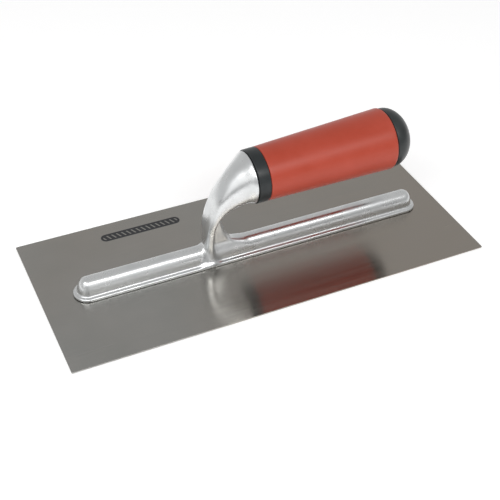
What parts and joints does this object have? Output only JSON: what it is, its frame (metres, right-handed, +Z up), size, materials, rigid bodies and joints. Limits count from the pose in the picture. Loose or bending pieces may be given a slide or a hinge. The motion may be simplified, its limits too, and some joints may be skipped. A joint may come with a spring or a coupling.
{
  "type": "finishing trowel",
  "caption": "Plasterer's finishing trowel: rectangular steel blade riveted under a cast aluminium mounting, whose swan neck carries a soft-grip handle.",
  "frame": {"origin": "middle of the blade's underside, the face that works the plaster", "axes": "+X along the blade towards the free end of the handle, +Y across the blade, +Z up from the blade to the handle"},
  "size_m": [0.28, 0.12, 0.0817],
  "materials": {
    "blade_steel": "satin, finely ground along the blade",
    "cast_aluminium": "polished casting with slight surface waves",
    "rivet_steel": "ground flush",
    "plated_steel": "bright zinc plate",
    "collar_plastic": "satin moulded",
    "cap_plastic": "satin moulded",
    "core_plastic": "matte moulded",
    "grip_rubber": "soft touch, satin"
  },
  "bodies": {
    "root": {"blade": "blade_steel", "mounting_casting": "cast_aluminium", "front_collar": "collar_plastic", "handle_core": "core_plastic", "grip_sleeve": "grip_rubber", "end_cap": "cap_plastic", "tang_rod": "plated_steel", "handle_washer": "plated_steel", "handle_nut": "plated_steel", "rivet_1": "rivet_steel", "rivet_2": "rivet_steel", "rivet_3": "rivet_steel", "rivet_4": "rivet_steel", "rivet_5": "rivet_steel", "rivet_6": "rivet_steel", "rivet_7": "rivet_steel", "rivet_8": "rivet_steel", "rivet_9": "rivet_steel"}
  },
  "joints": []
}
